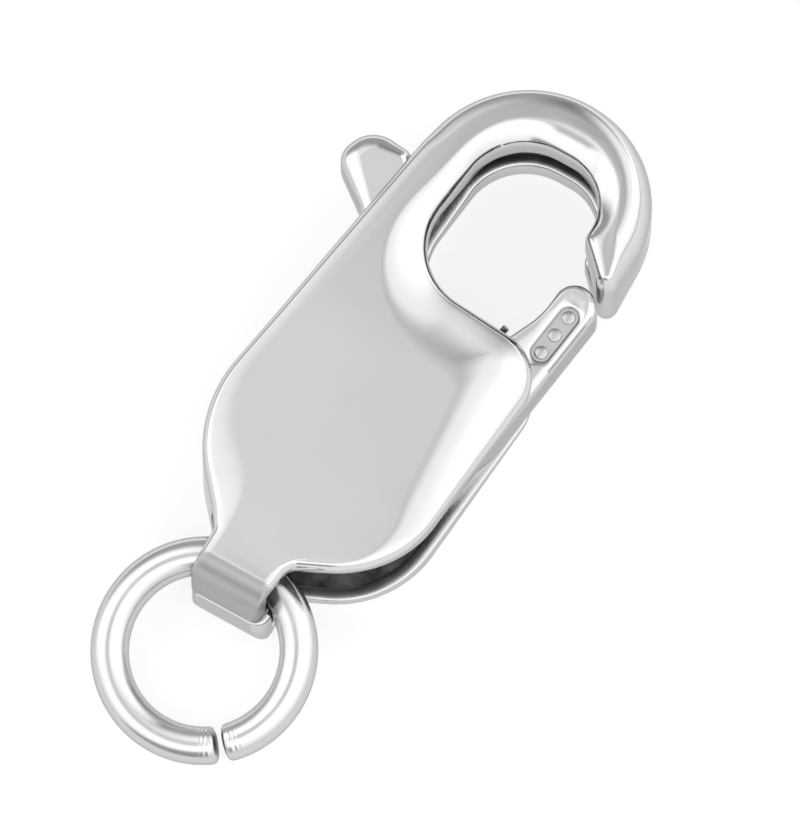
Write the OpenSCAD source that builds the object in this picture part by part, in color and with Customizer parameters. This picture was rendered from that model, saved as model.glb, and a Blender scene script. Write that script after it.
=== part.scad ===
// A lobster clasp: a hollow claw of folded sheet metal, a spring lever and a jump ring.
// X runs across, Y along the clasp towards the hook, Z up out of the front plate.
// The origin is on the pivot's axis, in the plane of the back plate.

/* [Claw] */
// Length of the claw, from the end of the tail loop to the crown of the hook
body_l = 15; // [13:0.5:18]
// Width of the claw, from the bulge on the thumb's side to the outer side of the hook
body_w = 6.95; // [6.5:0.05:8.5]
// Thickness of the claw over both plates
body_t = 3.1; // [2.9:0.1:3.8]
// Thickness of the sheet metal
sheet_t = 0.35; // [0.3:0.01:0.4]
// Width of the open seam along the inner side of the hook
seam_w = 0.95; // [0.6:0.05:1.2]
// Height of the plain edge that is turned down along the sides of the tail loop
tail_lip_h = 0.5; // [0.45:0.01:0.6]
// How much further the back plate's half of the tail loop reaches to each side
tail_flare = 0.16; // [0:0.01:0.2]

/* [Lever] */
// Room between the lever and each plate, where the spring lies
lever_room = 0.51; // [0.45:0.01:0.6]
// Gap between the lever and the turned edges that it passes
lever_gap = 0.1; // [0.06:0.01:0.15]
// Gap between the gate and the end of the hook when the clasp is shut
stop_gap = 0.06; // [0.04:0.01:0.1]
// Distance of the lever's heel from the side of the claw
heel_back = 0.05; // [0.03:0.01:0.2]
// Rounding of the lever's edges
lever_edge = 0.24; // [0.15:0.01:0.3]
// Width of the sunk panel on the gate
panel_w = 0.66; // [0.5:0.01:0.7]
// Length of the sunk panel on the gate
panel_l = 1.75; // [1.4:0.05:1.9]
// Depth of the sunk panel
panel_deep = 0.08; // [0.05:0.01:0.12]
// Diameter of the plain pips in the panel
pip_d = 0.34; // [0.2:0.01:0.4]
// Number of pips in the panel
pip_count = 3; // [1:1:3]

/* [Pin and spring] */
// Diameter of the pivot pin
pin_d = 0.9; // [0.7:0.05:1.1]
// Clearance round the pin, on the radius
pin_clear = 0.04; // [0.02:0.01:0.08]
// Diameter of the spring's wire
spring_d = 0.18; // [0.14:0.01:0.2]
// Gap between the spring and what it lies beside
spring_gap = 0.04; // [0.03:0.01:0.06]
// Turns of the spring round the pin
spring_turns = 1.25; // [1.25:1:1.25]

/* [Jump ring] */
// Outer diameter of the jump ring
ring_od = 5.45; // [5:0.05:6.5]
// Diameter of the ring's wire
ring_wire = 0.92; // [0.8:0.01:1.1]
// Width of the cut in the ring
ring_cut = 0.12; // [0.05:0.01:0.3]
// Distance of the ring's wire from the end wall of the tail loop
ring_play = 0.4; // [0.3:0.05:0.5]
// How far the ring has slid across the tail loop
ring_slide = 0.09; // [0:0.01:0.1]

/* [Hidden] */
$fn = 48;

mid_z = body_t / 2;
lever_t = body_t - 2 * sheet_t - 2 * lever_room;
lever_z = sheet_t + lever_room;
shut = mid_z;
seam_lip = (body_t - seam_w) / 2;
lever_lip = lever_z - lever_gap;
least_radius = 0.02;
least_step = 0.01;

// Columns of the corner tables
CX = 0; CY = 1; CR = 2; CA = 3; CB = 4; CL = 5; CN = 6;

// Corners of the claw's outline, anticlockwise from the tail. The columns are: x and corner radius as shares of
// the width, y as a share of the length, the width and the depth of the rounded edge as shares of the width and
// the thickness, the depth of the turned edge, and the number of facets round the corner.
tail_right = [-0.048, -0.475, 0.030, 0.048, 0.20, shut, 3];
foot_right = [ 0.307, -0.318, 0.400, 0.085, 0.14, lever_lip, 7];
shoulder   = [ 0.394,  0.121, 0.180, 0.205, 0.20, lever_lip, 8];
hook_nose  = [ 0.268,  0.320, 0.045, 0.075, 0.15, seam_lip, 3];
hook_tip   = [ 0.447,  0.231, 0.045, 0.060, 0.24, shut, 4];
crown      = [ 0.453,  0.525, 0.394, 0.085, 0.32, shut, 10];
tail_left  = [-0.310, -0.475, 0.030, 0.048, 0.20, shut, 3];
claw = [
    tail_right,
    [-0.040, -0.449, 0.000, 0.048, 0.16, shut, 0],       // end of the tail's end wall
    [-0.039, -0.445, 0.000, 0.048, 0.15, tail_lip_h, 0],
    [-0.021, -0.389, 0.060, 0.050, 0.13, tail_lip_h, 3], // neck, right
    foot_right,
    shoulder,
    [-0.239,  0.134, 0.232, 0.135, 0.18, lever_lip, 8],  // eye, lower left
    [-0.166,  0.431, 0.226, 0.090, 0.15, seam_lip, 8],   // eye, upper left
    [ 0.268,  0.430, 0.185, 0.085, 0.15, seam_lip, 8],   // eye, upper right
    hook_nose,
    hook_tip,
    crown,
    [-0.329,  0.524, 0.440, 0.078, 0.32, shut, 9],       // crown, left
    [-0.393,  0.332, 0.000, 0.075, 0.22, shut, 0],       // thumb's slot, upper end
    [-0.394,  0.325, 0.000, 0.075, 0.20, lever_lip, 0],
    [-0.506,  0.000, 0.000, 0.060, 0.18, lever_lip, 0],  // thumb's slot, lower end
    [-0.508, -0.007, 0.000, 0.060, 0.18, shut, 0],
    [-0.590, -0.236, 0.480, 0.055, 0.14, shut, 6],       // foot, left
    [-0.371, -0.353, 0.000, 0.045, 0.13, shut, 0],       // end of the closed side
    [-0.358, -0.360, 0.000, 0.045, 0.13, tail_lip_h, 0],
    [-0.313, -0.390, 0.045, 0.045, 0.13, tail_lip_h, 2], // neck, left
    [-0.311, -0.445, 0.000, 0.048, 0.15, tail_lip_h, 0],
    [-0.311, -0.449, 0.000, 0.048, 0.16, shut, 0],       // end of the tail's end wall
    tail_left,
];

// The number of corners at each end of the tail loop
tail_rows = 3;

function pick(list, i) = list[(i + len(list)) % len(list)];
function unit(v) = v / norm(v);
function left_of(v) = [-v[1], v[0]];
function cross2(u, v) = u[0] * v[1] - u[1] * v[0];
function turned(v, a) = [v[0] * cos(a) - v[1] * sin(a), v[0] * sin(a) + v[1] * cos(a)];
function turn_angle(u, v) = atan2(cross2(u, v), u * v);

// The claw's corners in millimetres. The corners of the tail loop's end reach further out by flare.
function claw_mm(flare) = [for (i = [0:len(claw) - 1])
    let (c = claw[i], out = i < tail_rows ? flare : i >= len(claw) - tail_rows ? -flare : 0)
    [c[CX] * body_w + out, c[CY] * body_l, c[CR] * body_w, c[CA] * body_w, c[CB] * body_t, c[CL], c[CN]]];
function place(c) = [c[CX] * body_w, c[CY] * body_l];

function xy(c) = [c[CX], c[CY]];

// Corner i moved inwards by d, where the inside is on the left
function moved(t, i, d) =
    let (p = xy(t[i]),
         n1 = left_of(unit(p - xy(pick(t, i - 1)))),
         n2 = left_of(unit(xy(pick(t, i + 1)) - p)))
    p + d * (n1 + n2) / (1 + n1 * n2);

function arc_at(before, at, after, r, n) =
    let (u = unit(at - before), v = unit(after - at), a = turn_angle(u, v),
         start = at - u * r * tan(abs(a) / 2),
         centre = start + left_of(u) * r * sign(a))
    n == 0 ? [at] : [for (j = [0:n]) centre + turned(start - centre, a * j / n)];

// The outline of table t with each corner i moved inwards by inset[i]
function outline(t, inset) =
    let (m = [for (i = [0:len(t) - 1]) moved(t, i, inset[i])])
    [for (i = [0:len(t) - 1])
        let (a = turn_angle(xy(t[i]) - xy(pick(t, i - 1)), xy(pick(t, i + 1)) - xy(t[i])),
             r = a > 0 ? max(t[i][CR] - inset[i], least_radius) : t[i][CR] + inset[i])
        each arc_at(pick(m, i - 1), m[i], pick(m, i + 1), r, t[i][CN])];

// For each point of the outline, the corner that it belongs to
function owners(t) = [for (i = [0:len(t) - 1]) for (j = [0:t[i][CN]]) i];

function at_z(points, z) = [for (i = [0:len(points) - 1]) [points[i][0], points[i][1], z[i]]];

// Rings of the sheet's outer or inner face on the front side, from the turned edge up to the flat plate.
// Each ring is the outline moved inwards along a quarter of an ellipse.
function face_rings(t, wall, angles) =
    let (own = owners(t),
         a = [for (c = t) max(c[CA] - wall, least_step)],
         b = [for (c = t) max(c[CB] - wall, least_step)])
    concat(
        [at_z(outline(t, [for (c = t) wall]), [for (o = own) body_t - t[o][CL]])],
        [for (s = angles)
            at_z(outline(t, [for (i = [0:len(t) - 1]) wall + a[i] * (1 - cos(s))]),
                 [for (o = own) body_t - wall - b[o] * (1 - sin(s))])]);

function flipped(rings) = [for (r = rings) [for (p = r) [p[0], p[1], body_t - p[2]]]];
function joined(lists) = [for (l = lists) each l];
function reversed(f) = [for (i = [len(f) - 1:-1:0]) f[i]];
function two(a, b, c, d) = [[a, b, c], [a, c, d]];

// Triangles that fill ring p. They run along both sides of it, a forwards and b backwards, from corner c on.
function stepped(p, s) =
    let (a = pick(p, s[0]), b = pick(p, s[1]), next_a = pick(p, s[0] + 1), next_b = pick(p, s[1] - 1),
         a_fits = cross2(next_a - a, b - a) > 0, b_fits = cross2(next_b - a, b - a) > 0)
    a_fits && (!b_fits || norm(next_a - b) < norm(next_b - a)) ? [s[0] + 1, s[1]] : [s[0], s[1] - 1];
function place_in(table, row) = [for (i = [0:len(table) - 1]) if (table[i] == row) i][0];
function filled(p, t, c) = let (n = len(p), first = search(c, owners(t))[0])
    [for (s = [first, first + n - 1]; s[1] - s[0] > 1; s = stepped(p, s))
        let (q = stepped(p, s))
        [s[0] % n, (q[0] > s[0] ? q[0] : q[1]) % n, s[1] % n]];

OUTER_ANGLES = [0, 22, 45, 67, 90];
INNER_ANGLES = [0, 45, 90];

module sheet_body(t, back, first) {
    own = owners(t);
    n = len(own);
    outer = [for (c = [t, back]) face_rings(c, 0, OUTER_ANGLES)];
    inner = [for (c = [t, back]) face_rings(c, sheet_t, INNER_ANGLES)];
    no = len(outer[0]);
    ni = len(inner[0]);
    side = n * (no + ni);
    closed = [for (o = own) t[o][CL] == shut];
    // Index of point i in ring k of a side. The two sides share the points where the edge is shut.
    function at(s, k, i) = let (m = i % n) (closed[m] && (k == 0 || k == no) ? 0 : s * side) + k * n + m;
    function band(s, k, i) = two(at(s, k, i), at(s, k + 1, i), at(s, k + 1, i + 1), at(s, k, i + 1));
    function rim(s, i) = two(at(s, 0, i), at(s, 0, i + 1), at(s, no, i + 1), at(s, no, i));
    function front_faces(s) = concat(
        [for (k = [0:no - 2]) for (i = [0:n - 1]) each band(s, k, i)],
        [for (f = filled(outer[s][no - 1], t, first)) reversed([for (i = f) at(s, no - 1, i)])],
        [for (k = [no:no + ni - 2]) for (i = [0:n - 1]) for (f = band(s, k, i)) reversed(f)],
        [for (f = filled(inner[s][ni - 1], t, first)) [for (i = f) at(s, no + ni - 1, i)]],
        [for (i = [0:n - 1]) if (!closed[i] || !closed[(i + 1) % n]) each rim(s, i)]);
    polyhedron(
        points = joined(concat(outer[0], inner[0], flipped(outer[1]), flipped(inner[1]))),
        faces = concat(front_faces(0), [for (f = front_faces(1)) reversed(f)]),
        convexity = 8);
}

module claw_shell() {
    color("gainsboro") sheet_body(claw_mm(0), claw_mm(tail_flare), place_in(claw, crown));
}

module pivot_pin() {
    color("lightgray") translate([0, 0, sheet_t]) cylinder(d = pin_d, h = body_t - 2 * sheet_t);
}

// The end face of the hook, which the gate shuts against
hook_end = place(hook_tip) - place(hook_nose);
function below_hook(share) = place(hook_nose) + hook_end * share - left_of(unit(hook_end)) * stop_gap;

// The heel is round about the pivot and stays inside the claw's open side
side = place(shoulder) - place(foot_right);
heel_r = place(foot_right)[0] - side[0] * place(foot_right)[1] / side[1] - heel_back;
heel_turn = 42;
heel_mid = -29;
heel_flat = 0.63;
heel = heel_r / cos(heel_turn / 2) * [cos(heel_mid), sin(heel_mid)];
heel_along = heel_mid + 90 - heel_turn / 2;
heel_low = heel - heel_flat * heel_r * [cos(heel_along), sin(heel_along)];
gate_corner = 0.94;

// Corners of the lever's outline, anticlockwise from the heel: x and radius in millimetres, facets
function lever_row(p, r, n) = [p[0], p[1], r * body_w, lever_edge, lever_edge, 0, n];
function lever_share(x, y, r, n) = lever_row([x * body_w, y * body_l], r, n);
gate_hollow = lever_share(0.268, 0.190, 0.320, 4);
lever = [
    lever_row(heel_low, 0.115, 4),              // heel, lower end
    lever_row(heel, heel_r / body_w, 7),
    lever_row(below_hook(gate_corner), 0.050, 4), // gate, outer corner
    lever_row(below_hook(0.10), 0.078, 7),      // gate, tip
    gate_hollow,                                // gate, hollow of the inner edge
    lever_share(0.144, 0.070, 0.030, 3),        // gate, root
    lever_share(-0.200, 0.075, 0.110, 4),       // arm, inner bend
    lever_share(-0.305, 0.270, 0.060, 3),       // arm under the hook's shank
    lever_share(-0.365, 0.308, 0.040, 3),       // thumb, inner end
    lever_share(-0.580, 0.327, 0.095, 6),       // thumb, outer end
    lever_share(-0.645, 0.262, 0.060, 5),       // thumb, lower end
    lever_share(-0.470, 0.203, 0.040, 3),       // arm, lower root of the thumb
    lever_share(-0.150, -0.085, 0.130, 6),      // round under the pivot
];

module rounded_plate(t, low, high, first) {
    n = len(owners(t));
    steps = [[0, 90], [0, 45], [0, 0], [1, 0], [1, 45], [1, 90]];
    rings = [for (s = steps)
        at_z(outline(t, [for (c = t) c[CA] * (1 - cos(s[1]))]),
             [for (o = owners(t)) s[0] == 0 ? low + t[o][CB] * (1 - sin(s[1])) : high - t[o][CB] * (1 - sin(s[1]))])];
    last = len(steps) - 1;
    polyhedron(
        points = joined(rings),
        faces = concat(
            filled(rings[0], t, first),
            [for (k = [0:last - 1]) for (i = [0:n - 1])
                let (j = (i + 1) % n)
                each two(k * n + i, (k + 1) * n + i, (k + 1) * n + j, k * n + j)],
            [for (f = filled(rings[last], t, first)) reversed([for (i = f) last * n + i])]),
        convexity = 6);
}

gate_axis = unit(below_hook(gate_corner) - heel);
panel_angle = atan2(gate_axis[1], gate_axis[0]);
panel_back = 0.84;
panel_at = below_hook(0.58) - gate_axis * (panel_l * panel_back);

module in_panel() {
    translate([panel_at[0], panel_at[1], lever_z + lever_t - panel_deep]) rotate([0, 0, panel_angle]) children();
}

module panel_cut() {
    straight = panel_l - panel_w;
    in_panel() {
        translate([-straight / 2, -panel_w / 2, 0]) cube([straight, panel_w, lever_t]);
        for (e = [-1, 1]) translate([e * straight / 2, 0, 0]) cylinder(d = panel_w, h = lever_t);
    }
}

module pips() {
    pitch = (panel_l - panel_w) / max(pip_count - 1, 1);
    in_panel() for (i = [0:pip_count - 1])
        translate([(i - (pip_count - 1) / 2) * pitch, 0, -panel_deep]) cylinder(d = pip_d, h = 2 * panel_deep);
}

module trigger_lever() {
    color("silver") union() {
        difference() {
            rounded_plate(lever, lever_z, lever_z + lever_t, place_in(lever, gate_hollow));
            translate([0, 0, -lever_t]) cylinder(d = pin_d + 2 * pin_clear, h = body_t + 2 * lever_t);
            panel_cut();
        }
        pips();
    }
}

// The spring's wire: a coil round the pin under the lever, then a leg that comes out beside the gate
coil_r = pin_d / 2 + spring_gap + spring_d / 2;
coil_pitch = spring_d + spring_gap;
coil_z = sheet_t + spring_gap + spring_d / 2;
coil_step = 15;
leg_angle = 20;
coil_route = [for (a = [0:coil_step:360 * spring_turns])
    let (w = leg_angle - 360 * spring_turns + a)
    [coil_r * cos(w), coil_r * sin(w), coil_z + coil_pitch * a / 360]];
// Points of the leg: x as a share of the width, y of the length and height of the lever's thickness over the coil
leg = [
    [0.104, 0.053, 0.00],
    [0.115, 0.068, 0.06],
    [0.124, 0.079, 0.30],
    [0.134, 0.091, 0.56],
    [0.148, 0.106, 0.80],
    [0.171, 0.135, 1.06],
];
leg_route = [for (p = leg) [p[0] * body_w, p[1] * body_l, coil_z + p[2] * lever_t]];

module wire(route, d, sides) {
    n = len(route);
    function along(i) = unit(route[min(i + 1, n - 1)] - route[max(i - 1, 0)]);
    points = [for (i = [0:n - 1])
        let (u = along(i), v = unit(cross(u, [0.31, 0.22, 1])), w = cross(u, v))
        each [for (k = [0:sides - 1])
            route[i] + d / 2 * (v * cos(360 * k / sides) + w * sin(360 * k / sides))]];
    polyhedron(
        points = points,
        faces = concat(
            [[for (k = [0:sides - 1]) k]],
            [for (i = [0:n - 2]) for (k = [0:sides - 1])
                let (l = (k + 1) % sides)
                each two(i * sides + k, (i + 1) * sides + k, (i + 1) * sides + l, i * sides + l)],
            [reversed([for (k = [0:sides - 1]) (n - 1) * sides + k])]),
        convexity = 6);
}

module return_spring() {
    color("dimgray") wire(concat(coil_route, leg_route), spring_d, 8);
}

// The jump ring hangs in the tail loop and leans with its far side on the surface
ring_r = (ring_od - ring_wire) / 2;
tail_mid = (place(tail_right) + place(tail_left)) / 2;
ring_near = [tail_mid[0] + ring_slide, tail_mid[1] + sheet_t + ring_play + ring_wire / 2, mid_z];
ring_tilt = asin((mid_z - ring_wire / 2) / (2 * ring_r));
cut_from = -51;
cut_angle = ring_cut / ring_r * 180 / PI;

module jump_ring() {
    color("gainsboro") translate(ring_near) rotate([ring_tilt, 0, 0]) translate([0, -ring_r, 0])
        rotate([0, 0, cut_from + cut_angle / 2])
            rotate_extrude(angle = 360 - cut_angle) translate([ring_r, 0]) circle(d = ring_wire);
}

claw_shell();
trigger_lever();
pivot_pin();
return_spring();
jump_ring();
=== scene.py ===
import math

import bmesh
import bpy
import numpy as np
from mathutils import Matrix, Vector


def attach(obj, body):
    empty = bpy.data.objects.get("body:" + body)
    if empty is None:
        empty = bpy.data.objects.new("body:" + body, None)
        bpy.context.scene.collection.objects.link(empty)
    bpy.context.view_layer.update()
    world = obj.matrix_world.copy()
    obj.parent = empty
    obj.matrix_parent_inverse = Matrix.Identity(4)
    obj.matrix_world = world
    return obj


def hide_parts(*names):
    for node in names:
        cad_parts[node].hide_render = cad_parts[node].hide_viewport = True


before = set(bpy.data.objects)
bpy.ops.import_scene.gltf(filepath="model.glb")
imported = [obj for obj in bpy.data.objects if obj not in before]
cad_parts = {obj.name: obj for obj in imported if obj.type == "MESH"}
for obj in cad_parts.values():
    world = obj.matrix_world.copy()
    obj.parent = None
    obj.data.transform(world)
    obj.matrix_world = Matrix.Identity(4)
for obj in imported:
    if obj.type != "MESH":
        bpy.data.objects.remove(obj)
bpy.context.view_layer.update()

MM = 0.001

# Sizes of the clasp in millimetres, as in the part's source
CLAW_L = 15.0
CLAW_W = 6.95
CLAW_T = 3.1
SHEET = 0.35
SEAM_W = 0.95
TAIL_LIP = 0.5
TAIL_FLARE = 0.16
LEVER_ROOM = 0.51
LEVER_GAP = 0.1
STOP_GAP = 0.06
HEEL_BACK = 0.05
PANEL_W = 0.66
PANEL_L = 1.75
PANEL_DEEP = 0.08
PIP_D = 0.34
PIP_COUNT = 3
PIN_D = 0.9
PIN_CLEAR = 0.04
SPRING_D = 0.18
SPRING_GAP = 0.04
SPRING_TURNS = 1.25
RING_OD = 5.45
RING_WIRE = 0.92
RING_CUT = 0.12
RING_PLAY = 0.4
RING_SLIDE = 0.09

MID_Z = CLAW_T / 2
LEVER_T = CLAW_T - 2 * SHEET - 2 * LEVER_ROOM
LEVER_Z = SHEET + LEVER_ROOM
SHUT = MID_Z
SEAM_LIP = (CLAW_T - SEAM_W) / 2
LEVER_LIP = LEVER_Z - LEVER_GAP
TAIL_SEAM = MID_Z - 0.05


# Outlines with rounded corners, moved inwards ring by ring

def unit(v):
    return v / np.linalg.norm(v)


def left_of(v):
    return np.array([-v[1], v[0]])


def turn_between(u, v):
    return math.atan2(u[0] * v[1] - u[1] * v[0], u[0] * v[0] + u[1] * v[1])


def turned(v, angle):
    c, s = math.cos(angle), math.sin(angle)
    return np.array([v[0] * c - v[1] * s, v[0] * s + v[1] * c])


# The moved outlines that are worked out beforehand, in millimetres inwards
INSET_FROM, INSET_TO, INSET_STEPS = -0.1, 2.1, 111


class Outline:
    """A closed outline of rounded corners, anticlockwise, whose rings all have the same number of points."""

    def __init__(self, rows, facet_deg=3.0, run_mm=0.25):
        self.rows = rows
        self.levels = None
        self.weights = {}
        self.at = np.array([r[:2] for r in rows], float)
        n = len(rows)
        self.turns = []
        for i in range(n):
            u = self.at[i] - self.at[i - 1]
            v = self.at[(i + 1) % n] - self.at[i]
            self.turns.append(turn_between(u, v))
        self.facets = [max(2, math.ceil(abs(math.degrees(t)) / facet_deg)) if r[2] > 0 else 0
                       for r, t in zip(rows, self.turns)]
        self.runs = [1] * n
        arcs = self.arcs([0.0] * n)
        for i in range(n):
            gap = np.linalg.norm(arcs[(i + 1) % n][0] - arcs[i][-1])
            self.runs[i] = max(1, int(round(gap / run_mm)))

    def arcs(self, inset):
        n = len(self.rows)
        moved = []
        for i in range(n):
            n1 = left_of(unit(self.at[i] - self.at[i - 1]))
            n2 = left_of(unit(self.at[(i + 1) % n] - self.at[i]))
            moved.append(self.at[i] + inset[i] * (n1 + n2) / (1 + n1 @ n2))
        arcs = []
        for i, row in enumerate(self.rows):
            if self.facets[i] == 0:
                arcs.append([moved[i]])
                continue
            radius = max(row[2] - inset[i], min(row[3], row[2])) if self.turns[i] > 0 else row[2] + inset[i]
            u = unit(moved[i] - moved[i - 1])
            v = unit(moved[(i + 1) % n] - moved[i])
            a = turn_between(u, v)
            start = moved[i] - u * radius * math.tan(abs(a) / 2)
            centre = start + left_of(u) * radius * math.copysign(1, a)
            k = self.facets[i]
            arcs.append([centre + turned(start - centre, a * j / k) for j in range(k + 1)])
        return arcs

    def even_ring(self, inset):
        """The points of the outline moved inwards by the same distance all round."""
        arcs = self.arcs([inset] * len(self.rows))
        points = []
        for i, arc in enumerate(arcs):
            points.extend(arc)
            after = arcs[(i + 1) % len(arcs)][0]
            for j in range(1, self.runs[i]):
                points.append(arc[-1] + (after - arc[-1]) * j / self.runs[i])
        return np.array(points)

    def ring(self, inset):
        """The points of the outline, each moved inwards by its own distance."""
        if self.levels is None:
            self.levels = np.linspace(INSET_FROM, INSET_TO, INSET_STEPS)
            self.moved = np.array([self.even_ring(q) for q in self.levels])
        n = self.moved.shape[1]
        share = np.clip((np.broadcast_to(inset, n) - self.levels[0]) / (self.levels[1] - self.levels[0]),
                        0, len(self.levels) - 1.001)
        low = share.astype(int)
        part = (share - low)[:, None]
        return self.moved[low, range(n)] * (1 - part) + self.moved[low + 1, range(n)] * part

    def spread(self, values, reach=0.0):
        """A value for each point, from one or more for each corner, evened out within a reach."""
        out = []
        n = len(self.rows)
        values = [np.atleast_1d(v).astype(float) for v in values]
        for i, v in enumerate(values):
            k = self.facets[i]
            at = np.arange(k + 1) / max(k, 1) * (len(v) - 1)
            out.extend(np.interp(at, range(len(v)), v))
            for j in range(1, self.runs[i]):
                out.append(v[-1] + (values[(i + 1) % n][0] - v[-1]) * j / self.runs[i])
        return self.evened(np.array(out), reach)

    def evened(self, values, reach):
        """Values or points averaged along the outline within a reach."""
        if reach < 0.01:
            return values
        if reach in self.weights:
            return self.weights[reach] @ values
        points = self.even_ring(0)
        step = np.linalg.norm(np.roll(points, -1, 0) - points, axis=1)
        along = np.concatenate([[0], np.cumsum(step)[:-1]])
        length = step.sum()
        share = (step + np.roll(step, 1)) / 2
        apart = np.abs(along[:, None] - along[None])
        apart = np.minimum(apart, length - apart)
        weight = np.clip(1 - apart / reach, 0, None) * share[None]
        self.weights[reach] = weight / weight.sum(1)[:, None]
        return self.weights[reach] @ values


# Edges that turn by more than this stay sharp in the shading
SHARP_DEG = 38


class Skin:
    """Collects rings of points and faces, and makes one mesh of them."""

    def __init__(self):
        self.points = []
        self.faces = []
        self.kinds = []

    def ring(self, points, z):
        start = len(self.points)
        self.points.extend([(p[0], p[1], h) for p, h in zip(points, z)])
        return start

    def face(self, indices, kind, flip):
        self.faces.append(tuple(reversed(indices)) if flip else tuple(indices))
        self.kinds.append(kind)

    def band(self, low, high, n, kind, flip, only=None):
        for i in range(n):
            j = (i + 1) % n
            if only is None or only[i]:
                self.face((low + i, low + j, high + j, high + i), kind, flip)

    def cap(self, start, n, kind, flip):
        self.face(range(start, start + n), kind, flip)

    def build(self, name, materials):
        mesh = bpy.data.meshes.new(name)
        mesh.from_pydata([(x * MM, y * MM, z * MM) for x, y, z in self.points], [], self.faces)
        for m in materials:
            mesh.materials.append(m)
        mesh.polygons.foreach_set("material_index", self.kinds)
        mesh.validate()
        bm = bmesh.new()
        bm.from_mesh(mesh)
        bmesh.ops.remove_doubles(bm, verts=bm.verts, dist=2e-7)
        bmesh.ops.dissolve_degenerate(bm, edges=bm.edges, dist=1e-7)
        bm.to_mesh(mesh)
        bm.free()
        finish_shading(mesh)
        obj = bpy.data.objects.new(name, mesh)
        bpy.context.scene.collection.objects.link(obj)
        return obj


def finish_shading(mesh):
    """Smooth faces with sharp creases, and how steep the metal stands at each face's corners."""
    mesh.polygons.foreach_set("use_smooth", [True] * len(mesh.polygons))
    mesh.set_sharp_from_angle(angle=math.radians(SHARP_DEG))
    mesh.update()
    normals = np.empty(len(mesh.loops) * 3, np.float32)
    mesh.corner_normals.foreach_get("vector", normals)
    steep = mesh.attributes.get("steep") or mesh.attributes.new("steep", "FLOAT", "CORNER")
    steep.data.foreach_set("value", 1 - np.abs(normals[2::3]))


# Materials

# How steep the metal stands: 0 on a flat, UPRIGHT on an upright side, and up to the highest value on the tail's
# bend.
# Painted shade darkens the steep sides between the first two values. DULL_ROUGH and the tint below are the
# roughness and painted shade that the bend gets in full.
STEEP_SHADE_FROM, STEEP_SHADE_FULL = 0.15, 0.34
DULL_FROM, UPRIGHT, SHADED_BEND = 0.6, 1.0, 2.0
DULL_ROUGH = 0.34
BEND_SHADE_TINT = -0.19
EDGE_TINT = 0.6
# The waves of the hand-polished sheet and the depth of its scratches, in millimetres
WAVES_PER_MM = 0.22
WAVE_DEEP = 0.02
SCRATCH_DEEP = 0.002
# Scale of a pattern whose unit is the millimetre
FINE = (1 / MM, 1 / MM, 1 / MM)


def new_material(name):
    m = bpy.data.materials.new(name)
    m.use_nodes = True
    nodes = m.node_tree.nodes
    return m, nodes, m.node_tree.links, nodes["Principled BSDF"]


def object_pattern(nodes, links, scale, location=(0, 0, 0), rotation=(0, 0, 0)):
    coords = nodes.new("ShaderNodeTexCoord")
    mapping = nodes.new("ShaderNodeMapping")
    mapping.inputs["Scale"].default_value = scale
    mapping.inputs["Location"].default_value = location
    mapping.inputs["Rotation"].default_value = rotation
    links.new(coords.outputs["Object"], mapping.inputs["Vector"])
    return mapping.outputs["Vector"]


def noise(nodes, links, vector, scale, detail=3.0, rough=0.5):
    n = nodes.new("ShaderNodeTexNoise")
    n.inputs["Scale"].default_value = scale
    n.inputs["Detail"].default_value = detail
    n.inputs["Roughness"].default_value = rough
    links.new(vector, n.inputs["Vector"])
    return n.outputs["Fac"]


def ranged(nodes, links, value, low, high, out_low, out_high):
    r = nodes.new("ShaderNodeMapRange")
    r.inputs["From Min"].default_value = low
    r.inputs["From Max"].default_value = high
    r.inputs["To Min"].default_value = out_low
    r.inputs["To Max"].default_value = out_high
    links.new(value, r.inputs["Value"])
    return r.outputs["Result"]


def maths(nodes, links, kind, a, b):
    n = nodes.new("ShaderNodeMath")
    n.operation = kind
    for socket, value in zip(n.inputs, (a, b)):
        if isinstance(value, (int, float)):
            socket.default_value = value
        else:
            links.new(value, socket)
    return n.outputs["Value"]


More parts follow.
